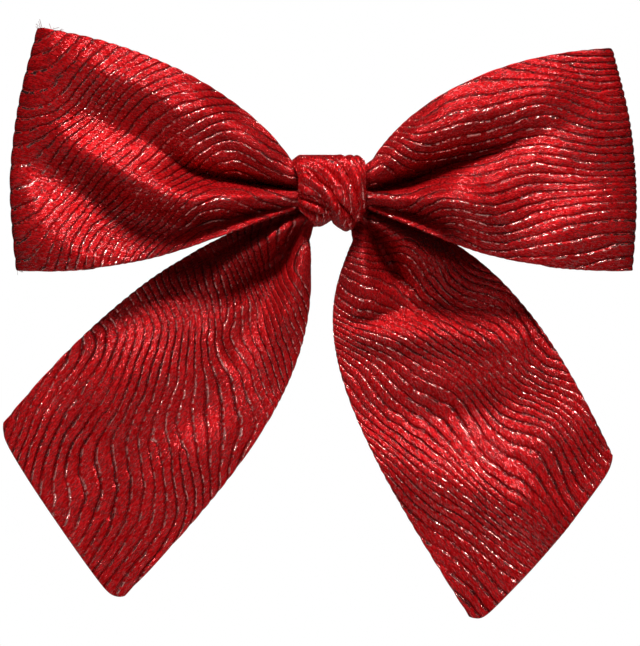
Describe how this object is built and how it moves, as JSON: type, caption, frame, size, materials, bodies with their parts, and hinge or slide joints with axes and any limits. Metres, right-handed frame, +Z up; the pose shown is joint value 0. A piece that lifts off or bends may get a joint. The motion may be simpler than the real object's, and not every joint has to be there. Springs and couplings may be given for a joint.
{
  "type": "gift bow",
  "caption": "Pre-made fabric gift bow: two open loops and two pointed tails gathered under a wrapped knot, with a twist tie behind it.",
  "frame": {"origin": "middle of the knot's flat back face, which lies against the present or the wall", "axes": "+X to the right of someone facing the bow, +Z up, +Y out of the bow's back; the bow's face looks along -Y"},
  "size_m": [0.2508, 0.0362, 0.2334],
  "materials": {
    "ribbon_cloth": "crinkled woven ribbon with fine metallic thread, satin",
    "gathered_cloth": "the same ribbon, tightly gathered",
    "binding_steel": "annealed binding wire",
    "gold_foil": "gold foil laminated over a steel wire, glossy"
  },
  "bodies": {
    "knot": {"knot_band": "ribbon_cloth", "gathered_waist": "gathered_cloth", "binding_wire": "binding_steel", "tie_bridge": "gold_foil"},
    "left_loop": {"left_loop": "ribbon_cloth"},
    "right_loop": {"right_loop": "ribbon_cloth"},
    "left_tail": {"left_tail": "ribbon_cloth"},
    "right_tail": {"right_tail": "ribbon_cloth"},
    "left_tie_leg": {"left_tie_leg": "gold_foil"},
    "right_tie_leg": {"right_tie_leg": "gold_foil"}
  },
  "joints": [
    {"name": "left_loop_bend", "type": "hinge", "parent": "knot", "child": "left_loop", "pos_m": [-0.0155, -0.016, 0], "axis": [0, 0, 1], "range_deg": [0, 30], "stiffness_Nm_per_rad": 0.03},
    {"name": "right_loop_bend", "type": "hinge", "parent": "knot", "child": "right_loop", "pos_m": [0.015, -0.016, 0], "axis": [0, 0, -1], "range_deg": [0, 30], "stiffness_Nm_per_rad": 0.03},
    {"name": "left_tail_lift", "type": "hinge", "parent": "knot", "child": "left_tail", "pos_m": [-0.0125, -0.016, -0.0135], "axis": [-1, 0, 0], "range_deg": [0, 35], "stiffness_Nm_per_rad": 0.01},
    {"name": "right_tail_lift", "type": "hinge", "parent": "knot", "child": "right_tail", "pos_m": [0.0115, -0.016, -0.0135], "axis": [-1, 0, 0], "range_deg": [0, 35], "stiffness_Nm_per_rad": 0.01},
    {"name": "left_tie_leg_bend", "type": "hinge", "parent": "knot", "child": "left_tie_leg", "pos_m": [-0.0156, -0.0037, 0], "axis": [0, 0, -1], "range_deg": [0, 90]},
    {"name": "right_tie_leg_bend", "type": "hinge", "parent": "knot", "child": "right_tie_leg", "pos_m": [0.0156, -0.0037, 0], "axis": [0, 0, 1], "range_deg": [0, 90]}
  ]
}
